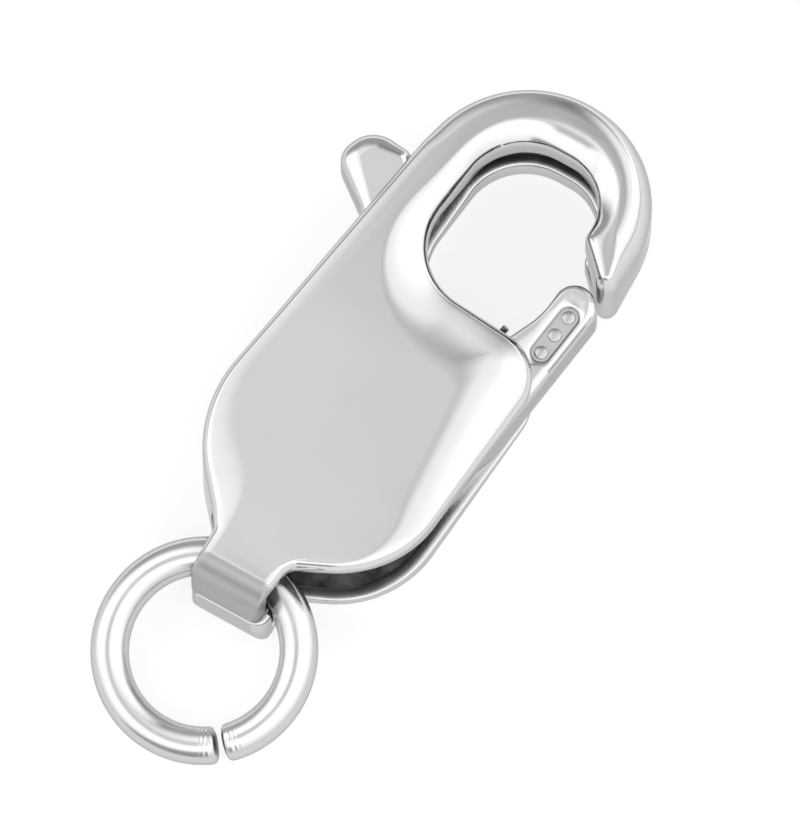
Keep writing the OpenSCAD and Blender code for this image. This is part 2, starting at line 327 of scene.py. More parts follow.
def polished(name, colour, rough, haze, scratch, fall=0.0, side=0.64):
    """Polished silver: a mirror with a slight haze, fine wiping scratches, a very slight waviness and painted
    shade on its steep sides. Fall says how fast it seems to fall away towards the hook, and side how much
    brightness the painted shade leaves on its steep sides."""
    m, nodes, links, shader = new_material(name)
    shader.inputs["Metallic"].default_value = 1.0
    shader.inputs["Specular Tint"].default_value = (EDGE_TINT, EDGE_TINT, EDGE_TINT, 1)
    fine = object_pattern(nodes, links, FINE)
    cloud = noise(nodes, links, fine, 0.9, 4.0, 0.55)
    wiped = noise(nodes, links, object_pattern(
        nodes, links, (3.0 / MM, 55.0 / MM, 20.0 / MM), rotation=(0, 0, math.radians(38))), 1.0, 2.0, 0.6)
    crossed = noise(nodes, links, object_pattern(
        nodes, links, (60.0 / MM, 2.5 / MM, 22.0 / MM), rotation=(0, 0, math.radians(-17))), 1.0, 2.0, 0.6)
    steep = nodes.new("ShaderNodeAttribute")
    steep.attribute_name = "steep"
    hazy = ranged(nodes, links, cloud, 0.3, 0.7, rough - haze, rough + haze)
    dull = ranged(nodes, links, steep.outputs["Fac"], DULL_FROM, SHADED_BEND, 0.0, DULL_ROUGH)
    links.new(maths(nodes, links, "ADD", hazy, dull), shader.inputs["Roughness"])
    tone = nodes.new("ShaderNodeMixRGB")
    tone.inputs["Color1"].default_value = (*[c * 0.985 for c in colour], 1)
    tone.inputs["Color2"].default_value = (*colour, 1)
    links.new(ranged(nodes, links, cloud, 0.35, 0.65, 0.0, 1.0), tone.inputs["Fac"])
    # The steep sides are polished less, and their colour is darkened with painted shade so that the floor they
    # mirror looks darker
    steep_shaded = ranged(nodes, links, steep.outputs["Fac"], STEEP_SHADE_FROM, STEEP_SHADE_FULL, 1.0, side)
    # Beyond upright, on the tail's bend, the colour takes further painted shade
    bend_shade = ranged(nodes, links, steep.outputs["Fac"], UPRIGHT, SHADED_BEND, 0.0, BEND_SHADE_TINT)
    shade_factor = maths(nodes, links, "ADD", steep_shaded, bend_shade)
    shade_multiply = nodes.new("ShaderNodeMixRGB")
    shade_multiply.blend_type = "MULTIPLY"
    shade_multiply.inputs["Fac"].default_value = 1.0
    links.new(tone.outputs["Color"], shade_multiply.inputs["Color1"])
    links.new(shade_factor, shade_multiply.inputs["Color2"])
    links.new(shade_multiply.outputs["Color"], shader.inputs["Base Color"])
    lines = maths(nodes, links, "ADD", ranged(nodes, links, wiped, 0.62, 0.74, 0.0, 1.0),
                  ranged(nodes, links, crossed, 0.66, 0.78, 0.0, 1.0))
    bump = nodes.new("ShaderNodeBump")
    bump.invert = True
    bump.inputs["Strength"].default_value = scratch
    bump.inputs["Distance"].default_value = SCRATCH_DEEP * MM
    links.new(lines, bump.inputs["Height"])
    # The hand-polished sheet is very slightly wavy and falls away towards the hook
    place = nodes.new("ShaderNodeSeparateXYZ")
    links.new(fine, place.inputs["Vector"])
    towards = maths(nodes, links, "POWER", maths(nodes, links, "MAXIMUM", place.outputs["Y"], 0.0), 2.0)
    waves = noise(nodes, links, fine, WAVES_PER_MM, 1.0, 0.4)
    height = maths(nodes, links, "SUBTRACT", maths(nodes, links, "MULTIPLY", waves, WAVE_DEEP),
                   maths(nodes, links, "MULTIPLY", towards, fall / 2))
    wavy = nodes.new("ShaderNodeBump")
    wavy.inputs["Strength"].default_value = 1.0
    wavy.inputs["Distance"].default_value = MM
    links.new(height, wavy.inputs["Height"])
    links.new(wavy.outputs["Normal"], bump.inputs["Normal"])
    links.new(bump.outputs["Normal"], shader.inputs["Normal"])
    return m


def shell_inside():
    """The unpolished inside of the shell, its colour darkened in patches with painted shade for the hollow."""
    m, nodes, links, shader = new_material("silver_inside_of_shell_painted_shade")
    shader.inputs["Metallic"].default_value = 1.0
    fine = object_pattern(nodes, links, FINE)
    patches = noise(nodes, links, fine, 1.6, 5.0, 0.6)
    tone = nodes.new("ShaderNodeMixRGB")
    tone.inputs["Color1"].default_value = (0.13, 0.13, 0.132, 1)
    tone.inputs["Color2"].default_value = (0.46, 0.46, 0.465, 1)
    links.new(ranged(nodes, links, patches, 0.35, 0.7, 0.0, 1.0), tone.inputs["Fac"])
    links.new(tone.outputs["Color"], shader.inputs["Base Color"])
    links.new(ranged(nodes, links, patches, 0.3, 0.7, 0.48, 0.68), shader.inputs["Roughness"])
    grain = noise(nodes, links, fine, 22.0, 3.0, 0.6)
    bump = nodes.new("ShaderNodeBump")
    bump.inputs["Strength"].default_value = 0.4
    bump.inputs["Distance"].default_value = 0.004 * MM
    links.new(grain, bump.inputs["Height"])
    links.new(bump.outputs["Normal"], shader.inputs["Normal"])
    return m


def drawn_wire(name, colour, rough):
    """Hard drawn wire with faint lines along it and darker patches."""
    m, nodes, links, shader = new_material(name)
    shader.inputs["Metallic"].default_value = 1.0
    fine = object_pattern(nodes, links, FINE)
    patches = noise(nodes, links, fine, 3.0, 4.0, 0.55)
    tone = nodes.new("ShaderNodeMixRGB")
    tone.inputs["Color1"].default_value = (*[c * 0.6 for c in colour], 1)
    tone.inputs["Color2"].default_value = (*colour, 1)
    links.new(ranged(nodes, links, patches, 0.35, 0.65, 0.0, 1.0), tone.inputs["Fac"])
    links.new(tone.outputs["Color"], shader.inputs["Base Color"])
    links.new(ranged(nodes, links, patches, 0.3, 0.7, rough, rough + 0.12), shader.inputs["Roughness"])
    bump = nodes.new("ShaderNodeBump")
    bump.inputs["Strength"].default_value = 0.25
    bump.inputs["Distance"].default_value = 0.003 * MM
    links.new(noise(nodes, links, fine, 14.0, 2.0, 0.5), bump.inputs["Height"])
    links.new(bump.outputs["Normal"], shader.inputs["Normal"])
    return m


claw_silver = polished("silver_claw", (0.93, 0.93, 0.93), 0.055, 0.012, 0.03, 0.012, 0.74)
lever_silver = polished("silver_lever", (0.92, 0.92, 0.92), 0.07, 0.02, 0.06)
panel_silver = polished("silver_panel_ground", (0.70, 0.70, 0.70), 0.30, 0.08, 0.5)
ring_silver = polished("silver_jump_ring", (0.93, 0.93, 0.93), 0.20, 0.04, 0.08)
# Grey for the ring's cut ends, and painted shade at the foot of the panel's wall
cut_end_and_shade_silver = polished("silver_cut_end_and_painted_shade", (0.5, 0.5, 0.5), 0.34, 0.06, 0.4)
inside_silver = shell_inside()
rim_silver = polished("silver_sheet_rim", (0.86, 0.86, 0.86), 0.26, 0.05, 0.06)
pin_silver = drawn_wire("silver_pivot_pin", (0.5, 0.5, 0.5), 0.25)
spring_steel = drawn_wire("steel_return_spring", (0.34, 0.34, 0.35), 0.22)


# The claw: a hollow shell of folded sheet, from one table of corners

def claw_corner(x, y, radius, lip, edge_w, edge_h, dome, rim, least=0.02):
    """A corner of the claw. Its place and radius are shares of the claw's length and width. The rest is in
    millimetres: the depth of the turned edge, the edge's width and depth, how much of that depth is the plate's
    gentle slope, the width of the rounded rim, and the least radius that a ring keeps. A tuple gives values
    from one end of the corner to the other."""
    return [x * CLAW_W, y * CLAW_L, radius * CLAW_W, least, lip, edge_w, edge_h, dome, rim]


tail_right = claw_corner(-0.048, -0.475, 0.030, TAIL_SEAM, 0.12, 0.12, 0.02, 0.06)
foot_right = claw_corner(0.307, -0.318, 0.400, (0.46, 0.48, 0.60, LEVER_LIP), (0.24, 0.24, 0.50, 0.95),
                         (0.28, 0.30, 0.32), (0.04, 0.07, 0.11), 0.12)
shoulder = claw_corner(0.394, 0.121, 0.180, LEVER_LIP, (1.45, 1.66, 1.76), 0.60, 0.36, 0.24, 0.55)
hook_nose = claw_corner(0.268, 0.320, 0.045, SEAM_LIP, 0.36, 0.42, 0.14, 0.12)
hook_tip = claw_corner(0.447, 0.231, 0.045, SHUT, 0.27, 0.70, 0.05, 0.22)
crown_right = claw_corner(0.453, 0.525, 0.394, SHUT, (0.68, 0.64, 0.60), 0.95, 0.15, (0.54, 0.44, 0.34))
tail_left = claw_corner(-0.310, -0.475, 0.030, TAIL_SEAM, 0.12, 0.12, 0.02, 0.06)
CLAW_TABLE = [
    tail_right,
    claw_corner(-0.040, -0.449, 0.000, TAIL_SEAM, 0.26, 0.26, 0.04, 0.13),
    claw_corner(-0.039, -0.445, 0.000, TAIL_LIP, 0.26, 0.26, 0.04, 0.13),
    claw_corner(-0.021, -0.389, 0.060, TAIL_LIP, 0.26, 0.27, 0.04, 0.13),
    foot_right,
    shoulder,
    claw_corner(-0.239, 0.134, 0.232, LEVER_LIP, (1.72, 1.48, 1.06, 0.66), 0.46, 0.26, 0.20),
    claw_corner(-0.166, 0.426, 0.226, SEAM_LIP, (0.48, 0.56, 0.64, 0.70), 0.48, 0.33, 0.08),
    claw_corner(0.268, 0.425, 0.185, SEAM_LIP, (0.70, 0.68, 0.60, 0.54), 0.48, 0.33, 0.08),
    hook_nose,
    hook_tip,
    crown_right,
    claw_corner(-0.329, 0.524, 0.440, SHUT, (0.60, 0.54), 0.90, 0.14, 0.32),
    claw_corner(-0.393, 0.332, 0.000, SHUT, 0.42, 0.62, 0.03, 0.24),
    claw_corner(-0.394, 0.325, 0.000, LEVER_LIP, 0.42, 0.60, 0.03, 0.24),
    claw_corner(-0.506, 0.000, 0.000, LEVER_LIP, 0.42, 0.52, 0.02, 0.20),
    claw_corner(-0.508, -0.007, 0.000, SHUT, 0.42, 0.52, 0.02, 0.20),
    claw_corner(-0.590, -0.236, 0.480, SHUT, (0.46, 0.66, 1.00), 0.45, (0.02, 0.03, 0.06), 0.18),
    claw_corner(-0.371, -0.353, 0.000, SHUT, 0.95, 0.42, 0.06, 0.20),
    claw_corner(-0.358, -0.360, 0.000, TAIL_LIP, 0.86, 0.42, 0.06, 0.20),
    claw_corner(-0.313, -0.390, 0.045, TAIL_LIP, 0.34, 0.28, 0.05, 0.14),
    claw_corner(-0.311, -0.445, 0.000, TAIL_LIP, 0.26, 0.26, 0.04, 0.13),
    claw_corner(-0.311, -0.449, 0.000, TAIL_SEAM, 0.26, 0.26, 0.04, 0.13),
    tail_left,
]
# The tail's end: its rows at each end of the table, the radius of the back half's corners, the bend's reach
# and drop, the back plate's share of both, its steps, and the share of the bend within which its roughness and
# painted shade grow to full
TAIL_ROWS = 3
TAIL_ROUND = 0.36
TAIL_BEND = 0.66
TAIL_DROP = 1.25
BACK_SHARE = 0.6
BEND_STEPS = 18
BEND_SHADE_WITHIN = 0.12
# How far the back half's tail reaches out to the left, where its right side has TAIL_FLARE
BACK_FLARE_LEFT = 0.05
# Rounding of the sheet's rim, what a rounded edge leaves of the turned edge's depth, and how far along the
# outline the edge's sizes and the slope's rings are evened out
LIP_ROUND = 0.07
LIP_LEFT = 0.04
EVEN_OUT = 0.55
EASE = 0.9
# The slope takes at most this share of the edge's depth, and the rounded rim at most this share of its width
SLOPE_MOST = 0.72
RIM_MOST = 0.9


def with_flare(rows, right, left):
    """The corners with the tail's sides moved outwards, and its end's corners rounder where they are."""
    out = []
    for i, row in enumerate(rows):
        shift = right if i < TAIL_ROWS else -left if i >= len(rows) - TAIL_ROWS else 0
        out.append([row[0] + shift] + row[1:])
    if right > 0:
        out[0][2] = out[-1][2] = TAIL_ROUND
    return out


def half_shell(skin, outline, flipped):
    rows = outline.rows
    z_of = (lambda z: CLAW_T - z) if flipped else (lambda z: z)
    lip = outline.spread([r[4] for r in rows])
    is_open = lip < SHUT - 1e-6
    width, height, dome, rim = [outline.spread([r[c] for r in rows], EVEN_OUT) for c in (5, 6, 7, 8)]
    height = np.minimum(height, lip - LIP_LEFT)
    dome = np.minimum(dome, height * SLOPE_MOST)
    rim = np.minimum(rim, width * RIM_MOST)
    rounding = np.where(is_open, np.minimum(LIP_ROUND, 0.9 * (lip - height)), 0.0)
    n = len(lip)

    def lip_rings(wall, sign):
        """The rounded edge of the sheet, from the middle of its rim to the plate's side."""
        out = []
        for a in (90, 60, 30, 0):
            c, s = 1 - math.cos(math.radians(a)), math.sin(math.radians(a))
            out.append((outline.ring(wall + sign * rounding * c), CLAW_T - lip + rounding * (1 - s)))
        return out

    def outside_rings():
        """The rounded rim, then the gentle slope up to the flat of the plate."""
        out = []
        for k in range(13):
            a = math.radians(90 * k / 12)
            inward = rim * (1 - math.cos(a))
            slope = dome * (1 - inward / width) ** 2
            out.append((outline.ring(inward), CLAW_T - slope - (height - dome) * (1 - math.sin(a))))
        for k in range(1, 13):
            inward = rim + (width - rim) * k / 12
            points = outline.evened(outline.ring(inward), EASE * k / 12)
            out.append((points, CLAW_T - dome * (1 - inward / width) ** 2))
        return out

    def inside_rings():
        out = []
        inner_w, inner_h = np.maximum(rim - SHEET, 0.01), np.maximum(height - SHEET, 0.01)
        for k in range(7):
            a = math.radians(90 * k / 6)
            out.append((outline.ring(SHEET + inner_w * (1 - math.cos(a))),
                        CLAW_T - SHEET - inner_h * (1 - math.sin(a))))
        return out

    start = {}
    for kind, wall, sign, rings in ((0, 0.0, 1, outside_rings()), (1, SHEET, -1, inside_rings())):
        lips = lip_rings(wall, sign)
        rings = lips + rings
        starts = [skin.ring(points, z_of(z)) for points, z in rings]
        flip = flipped != (kind == 1)
        for i, (low, high) in enumerate(zip(starts, starts[1:])):
            for rimmed in (True, False):
                skin.band(low, high, n, 2 if rimmed and i < len(lips) - 1 else kind, flip, is_open == rimmed)
        skin.cap(starts[-1], n, kind, flip)
        start[kind] = starts[0]
    skin.band(start[1], start[0], n, 2, flipped, is_open | np.roll(is_open, -1))


claw_skin = Skin()
half_shell(claw_skin, Outline(with_flare(CLAW_TABLE, 0.0, 0.0)), False)
half_shell(claw_skin, Outline(with_flare(CLAW_TABLE, TAIL_FLARE, BACK_FLARE_LEFT)), True)
claw = claw_skin.build("claw_shell_polished", [claw_silver, inside_silver, rim_silver])


def bend_tail_end(obj):
    """Curls both plates over to the seam across the tail's end."""
    end = tail_right[1]
    bm = bmesh.new()
    bm.from_mesh(obj.data)
    for k in range(1, BEND_STEPS + 1):
        at = end + TAIL_BEND * (1 - math.sin(math.radians(90 * (1 - k / BEND_STEPS))))
        everything = bm.verts[:] + bm.edges[:] + bm.faces[:]
        bmesh.ops.bisect_plane(bm, geom=everything, dist=1e-8, plane_co=(0, at * MM, 0), plane_no=(0, 1, 0))
    for v in bm.verts:
        for side, size in ((1, 1), (-1, BACK_SHARE)):
            share = min(max(1 - (v.co.y / MM - end) / (TAIL_BEND * size), 0), 1)
            above = side * (v.co.z / MM - MID_Z) - (MID_Z - TAIL_SEAM)
            if share > 0 and above > 0:
                fall = TAIL_DROP * size * (1 - math.sqrt(1 - share * share))
                v.co.z -= side * above * fall / TAIL_SEAM * MM
    bm.to_mesh(obj.data)
    bm.free()
    mesh = obj.data
    finish_shading(mesh)
    # The bend is made rougher, and its colour darkened with painted shade for the ring's dark reflection in it
    steep = mesh.attributes["steep"].data
    for face in mesh.polygons:
        if face.center.y < (end + TAIL_BEND) * MM and face.center.z > (CLAW_T - TAIL_SEAM) * MM:
            for i in face.loop_indices:
                y = mesh.vertices[mesh.loops[i].vertex_index].co.y / MM
                share = min(max(1 - (y - end) / TAIL_BEND, 0), 1)
                steep[i].value = max(steep[i].value, SHADED_BEND * min(share / BEND_SHADE_WITHIN, 1))


bend_tail_end(claw)
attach(claw, "claw")
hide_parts("claw_shell")


# The lever: one solid plate with rounded edges, a bore, and the sunk panel on its gate

# The heel: how far it turns round the pin, the middle of that turn, and its run below as a share of its radius
HEEL_TURN_DEG = 42
HEEL_MID_DEG = -29
HEEL_RUN = 0.63
LEVER_EVEN_OUT = 0.3
hook_end = np.array(hook_tip[:2]) - np.array(hook_nose[:2])


def below_hook(share):
    return np.array(hook_nose[:2]) + hook_end * share - left_of(unit(hook_end)) * STOP_GAP


side = np.array(shoulder[:2]) - np.array(foot_right[:2])
heel_r = foot_right[0] - side[0] * foot_right[1] / side[1] - HEEL_BACK
heel_turn = math.radians(HEEL_TURN_DEG)
heel_mid = math.radians(HEEL_MID_DEG)
heel_along = heel_mid + math.pi / 2 - heel_turn / 2
heel = heel_r / math.cos(heel_turn / 2) * np.array([math.cos(heel_mid), math.sin(heel_mid)])
heel_low = heel - HEEL_RUN * heel_r * np.array([math.cos(heel_along), math.sin(heel_along)])


def lever_corner(p, radius, edge_w, edge_h):
    return [p[0], p[1], radius * CLAW_W, 0.02, edge_w, edge_h]


def lever_share(x, y, radius, edge_w, edge_h):
    return lever_corner((x * CLAW_W, y * CLAW_L), radius, edge_w, edge_h)


gate_corner = below_hook(0.94)
gate_hollow = lever_share(0.268, 0.190, 0.320, 0.08, 0.08)
LEVER_TABLE = [
    lever_corner(heel_low, 0.115, 0.24, 0.24),
    lever_corner(heel, heel_r / CLAW_W, 0.26, 0.24),
    lever_corner(gate_corner, 0.050, 0.25, 0.22),
    lever_corner(below_hook(0.08), 0.072, 0.14, 0.14),
    gate_hollow,
    lever_share(0.144, 0.070, 0.030, 0.12, 0.12),
    lever_share(-0.200, 0.075, 0.110, 0.20, 0.20),
    lever_share(-0.305, 0.270, 0.060, 0.24, 0.24),
    lever_share(-0.420, 0.322, 0.060, 0.30, 0.30),
    lever_share(-0.580, 0.334, 0.112, 0.46, 0.42),
    lever_share(-0.645, 0.262, 0.080, 0.46, 0.42),
    lever_share(-0.470, 0.203, 0.040, 0.26, 0.26),
    lever_share(-0.150, -0.085, 0.130, 0.24, 0.24),
]


def rounded_plate(name, rows, low, high, materials, steps=12):
    outline = Outline(rows)
    skin = Skin()
    width, depth = [outline.spread([r[c] for r in rows], LEVER_EVEN_OUT) for c in (4, 5)]
    n = len(depth)
    rings = []
    for k in range(steps, -1, -1):
        s = math.radians(90 * k / steps)
        rings.append((outline.ring(width * (1 - math.cos(s))), low + depth * (1 - math.sin(s))))
    for k in range(steps + 1):
        s = math.radians(90 * k / steps)
        rings.append((outline.ring(width * (1 - math.cos(s))), high - depth * (1 - math.sin(s))))
    flat = outline.ring(width + 0.015)
    rings = [(flat, np.full(n, low))] + rings + [(flat, np.full(n, high))]
    starts = [skin.ring(points, z) for points, z in rings]
    for a, b in zip(starts, starts[1:]):
        skin.band(a, b, n, 0, False)
    skin.cap(starts[0], n, 0, True)
    skin.cap(starts[-1], n, 0, False)
    return skin.build(name, materials)


def stadium(name, length, width, levels, centre, angle):
    """A closed block with round ends, whose half width changes with height: levels are (z, growth)."""
    skin = Skin()
    k = 24
    c, s = math.cos(angle), math.sin(angle)
    starts = []
    for z, grow in levels:
        r = width / 2 + grow
        points = []
        for end in (1, -1):
            for j in range(k + 1):
                a = math.radians(-90 + 180 * j / k) + (0 if end > 0 else math.pi)
                x, y = end * (length - width) / 2 + r * math.cos(a), r * math.sin(a)
                points.append((centre[0] + x * c - y * s, centre[1] + x * s + y * c))
        starts.append(skin.ring(points, [z] * len(points)))
    n = 2 * (k + 1)
    for a, b in zip(starts, starts[1:]):
        skin.band(a, b, n, 0, False)
    skin.cap(starts[0], n, 0, True)
    skin.cap(starts[-1], n, 0, False)
    return skin.build(name, [])


def cut_away(obj, *cutters):
    for cutter in cutters:
        mod = obj.modifiers.new("cut", "BOOLEAN")
        mod.operation = "DIFFERENCE"
        mod.solver = "EXACT"
        mod.object = cutter
    depsgraph = bpy.context.evaluated_depsgraph_get()
    mesh = bpy.data.meshes.new_from_object(obj.evaluated_get(depsgraph))
    obj.modifiers.clear()
    old = obj.data
    obj.data = mesh
    mesh.name = old.name + "_cut"
    bpy.data.meshes.remove(old)
    for cutter in cutters:
        bpy.data.objects.remove(cutter)
    finish_shading(mesh)


lever = rounded_plate("trigger_lever_polished", LEVER_TABLE, LEVER_Z, LEVER_Z + LEVER_T,
                      [lever_silver, panel_silver, cut_end_and_shade_silver])
# The panel's middle: its share across the gate's end, and how many panel lengths it lies back from there.
# Then the depth at which the panel's border begins to slope outwards.
PANEL_ACROSS = 0.58
PANEL_BACK = 0.84
PANEL_SLOPE = 0.03
gate_axis = unit(gate_corner - heel)
panel_angle = math.atan2(gate_axis[1], gate_axis[0])
panel_at = below_hook(PANEL_ACROSS) - gate_axis * (PANEL_L * PANEL_BACK)
gate_top = LEVER_Z + LEVER_T
bore = stadium("bore", PIN_D + 2 * PIN_CLEAR, PIN_D + 2 * PIN_CLEAR, [(0, 0), (CLAW_T, 0)], (0, 0), 0)
sunk = stadium("sunk", PANEL_L, PANEL_W, [
    (gate_top - PANEL_DEEP, -0.10), (gate_top - PANEL_SLOPE, -0.05), (gate_top, 0.03), (gate_top + 0.05, 0.12)],
    panel_at, panel_angle)
cut_away(lever, bore, sunk)
# The panel's ground is matt, and the foot of its wall is darkened with painted shade
for face in lever.data.polygons:
    deep = gate_top - face.center.z / MM
    if face.normal.z > 0.3 and PANEL_SLOPE + 0.01 < deep < PANEL_DEEP + 0.01 and (
            np.linalg.norm(np.array(face.center[:2]) / MM - panel_at) < PANEL_L / 2):
        face.material_index = 1 if face.normal.z > 0.99 else 2
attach(lever, "lever")
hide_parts("trigger_lever")


# Geometry Nodes: the pips, the jump ring and the spring's wire

def node_tree(name, sizes, with_shape=False):
    tree = bpy.data.node_groups.new(name, "GeometryNodeTree")
    if with_shape:
        tree.interface.new_socket("Geometry", in_out="INPUT", socket_type="NodeSocketGeometry")
    for label, kind, value in sizes:
        socket = tree.interface.new_socket(label, in_out="INPUT", socket_type=kind)
        socket.default_value = value
    tree.interface.new_socket("Geometry", in_out="OUTPUT", socket_type="NodeSocketGeometry")
    return tree, tree.nodes, tree.links, tree.nodes.new("NodeGroupInput"), tree.nodes.new("NodeGroupOutput")


def finish_tree(nodes, links, shape, material, end):
    real = nodes.new("GeometryNodeRealizeInstances")
    paint = nodes.new("GeometryNodeSetMaterial")
    paint.inputs["Material"].default_value = material
    links.new(shape, real.inputs["Geometry"])
    links.new(real.outputs["Geometry"], paint.inputs["Geometry"])
    links.new(paint.outputs["Geometry"], end.inputs["Geometry"])


def made_by(name, tree, values, start_mesh=None):
    """Runs a tree on an object with its named inputs set, and keeps the result as a plain mesh."""
    start = start_mesh or bpy.data.meshes.new(name + "_start")
    obj = bpy.data.objects.new(name, start)
    bpy.context.scene.collection.objects.link(obj)
    mod = obj.modifiers.new("shape", "NODES")
    mod.node_group = tree
    for item in tree.interface.items_tree:
        if item.item_type == "SOCKET" and item.in_out == "INPUT" and item.name in values:
            mod[item.identifier] = values[item.name]
    depsgraph = bpy.context.evaluated_depsgraph_get()
    mesh = bpy.data.meshes.new_from_object(obj.evaluated_get(depsgraph))
    obj.modifiers.clear()
    obj.data = mesh
    mesh.name = name + "_mesh"
    bpy.data.meshes.remove(start)
    finish_shading(mesh)
    return obj


# The ends of the ring's wire, in shares of its length: how far the rounding goes, where the marks of the pliers
# begin and are full, and their pitch. The depth of the marks is a share of the wire.
END_ROUND = 0.011
MARKS_FROM, MARKS_FULL = 0.036, 0.014
MARK_PITCH = 0.0078
MARK_DEEP = 0.022


def ring_tree(material):
    """A round wire bent to an open ring that leans in its tail loop."""
    tree, nodes, links, start, end = node_tree("open_ring_of_wire", [
        ("Radius", "NodeSocketFloat", 1.0), ("Wire", "NodeSocketFloat", 1.0),
        ("Cut From", "NodeSocketFloat", 0.0), ("Sweep", "NodeSocketFloat", 6.0),
        ("Rounding", "NodeSocketFloat", 0.38),
        ("Centre", "NodeSocketVector", (0, 0, 0)), ("Lean", "NodeSocketVector", (0, 0, 0))])
    arc = nodes.new("GeometryNodeCurveArc")
    arc.inputs["Resolution"].default_value = 220
    links.new(start.outputs["Radius"], arc.inputs["Radius"])
    links.new(start.outputs["Cut From"], arc.inputs["Start Angle"])
    links.new(start.outputs["Sweep"], arc.inputs["Sweep Angle"])
    fine = nodes.new("GeometryNodeResampleCurve")
    fine.inputs["Count"].default_value = 700
    links.new(arc.outputs["Curve"], fine.inputs["Curve"])
    along = nodes.new("GeometryNodeSplineParameter")
    nearest = maths(nodes, links, "MINIMUM", along.outputs["Factor"],
                    maths(nodes, links, "SUBTRACT", 1.0, along.outputs["Factor"]))
    into = ranged(nodes, links, nearest, 0.0, END_ROUND, 1.0, 0.0)
    wave = maths(nodes, links, "SINE", maths(nodes, links, "MULTIPLY", nearest, 2 * math.pi / MARK_PITCH), 0.0)
    marks = maths(nodes, links, "MULTIPLY", ranged(nodes, links, nearest, MARKS_FROM, MARKS_FULL, 0.0, 1.0),
                  maths(nodes, links, "MAXIMUM", wave, 0.0))
    arch = maths(nodes, links, "SQRT", maths(
        nodes, links, "SUBTRACT", 1.0, maths(nodes, links, "POWER", into, 2.0)), 0.0)
    thin = maths(nodes, links, "SUBTRACT", 1.0, maths(
        nodes, links, "MULTIPLY", maths(nodes, links, "SUBTRACT", 1.0, arch), start.outputs["Rounding"]))
    wire = nodes.new("GeometryNodeCurvePrimitiveCircle")
    wire.inputs["Resolution"].default_value = 56
    links.new(start.outputs["Wire"], wire.inputs["Radius"])
    tube = nodes.new("GeometryNodeCurveToMesh")
    tube.inputs["Fill Caps"].default_value = True
    links.new(fine.outputs["Curve"], tube.inputs["Curve"])
    marked = maths(nodes, links, "SUBTRACT", thin, maths(nodes, links, "MULTIPLY", marks, MARK_DEEP))
    links.new(marked, tube.inputs["Scale"])
    links.new(wire.outputs["Curve"], tube.inputs["Profile Curve"])
    place = nodes.new("GeometryNodeTransform")
    links.new(tube.outputs["Mesh"], place.inputs["Geometry"])
    links.new(start.outputs["Centre"], place.inputs["Translation"])
    links.new(start.outputs["Lean"], place.inputs["Rotation"])
    finish_tree(nodes, links, place.outputs["Geometry"], material, end)
    return tree


# The cut is wider than the source's, and lies in this direction from the ring's middle
CUT_WIDER = 0.05
CUT_AT_DEG = -51
ring_r = (RING_OD - RING_WIRE) / 2
tail_x = (tail_right[0] + tail_left[0]) / 2
ring_near = np.array([tail_x + RING_SLIDE, tail_right[1] + SHEET + RING_PLAY + RING_WIRE / 2, MID_Z])
ring_tilt = math.asin((MID_Z - RING_WIRE / 2) / (2 * ring_r))
ring_centre = ring_near + ring_r * np.array([0, -math.cos(ring_tilt), -math.sin(ring_tilt)])
cut_angle = (RING_CUT + CUT_WIDER) / ring_r
cut_from = math.radians(CUT_AT_DEG) + cut_angle / 2
jump_ring = made_by("jump_ring_wire", ring_tree(ring_silver), {
    "Radius": ring_r * MM, "Wire": RING_WIRE / 2 * MM, "Cut From": cut_from,
    "Sweep": 2 * math.pi - cut_angle, "Centre": tuple(ring_centre * MM), "Lean": (ring_tilt, 0, 0)})
jump_ring.data.materials.append(cut_end_and_shade_silver)
for face in jump_ring.data.polygons:
    if len(face.vertices) > 4:
        face.material_index = 1
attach(jump_ring, "claw")
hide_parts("jump_ring")


def wire_tree(material):
    """Round wire along the points of the object's own line."""
    tree, nodes, links, start, end = node_tree("wire_along_a_line", [("Wire", "NodeSocketFloat", 1.0)], True)
    line = nodes.new("GeometryNodeMeshToCurve")
    links.new(start.outputs["Geometry"], line.inputs["Mesh"])
    smooth = nodes.new("GeometryNodeCurveSplineType")
    smooth.spline_type = "CATMULL_ROM"
    links.new(line.outputs["Curve"], smooth.inputs["Curve"])
    fine = nodes.new("GeometryNodeResampleCurve")
    fine.mode = "LENGTH"
    fine.inputs["Length"].default_value = 0.05 * MM
    links.new(smooth.outputs["Curve"], fine.inputs["Curve"])
    round_wire = nodes.new("GeometryNodeCurvePrimitiveCircle")
    round_wire.inputs["Resolution"].default_value = 20
    links.new(start.outputs["Wire"], round_wire.inputs["Radius"])
    tube = nodes.new("GeometryNodeCurveToMesh")
    tube.inputs["Fill Caps"].default_value = True
    links.new(fine.outputs["Curve"], tube.inputs["Curve"])
    links.new(round_wire.outputs["Curve"], tube.inputs["Profile Curve"])
    finish_tree(nodes, links, tube.outputs["Mesh"], material, end)
    return tree


coil_r = PIN_D / 2 + SPRING_GAP + SPRING_D / 2
coil_pitch = SPRING_D + SPRING_GAP
coil_z = SHEET + SPRING_GAP + SPRING_D / 2
leg_angle = 20
COIL_STEP_DEG = 15
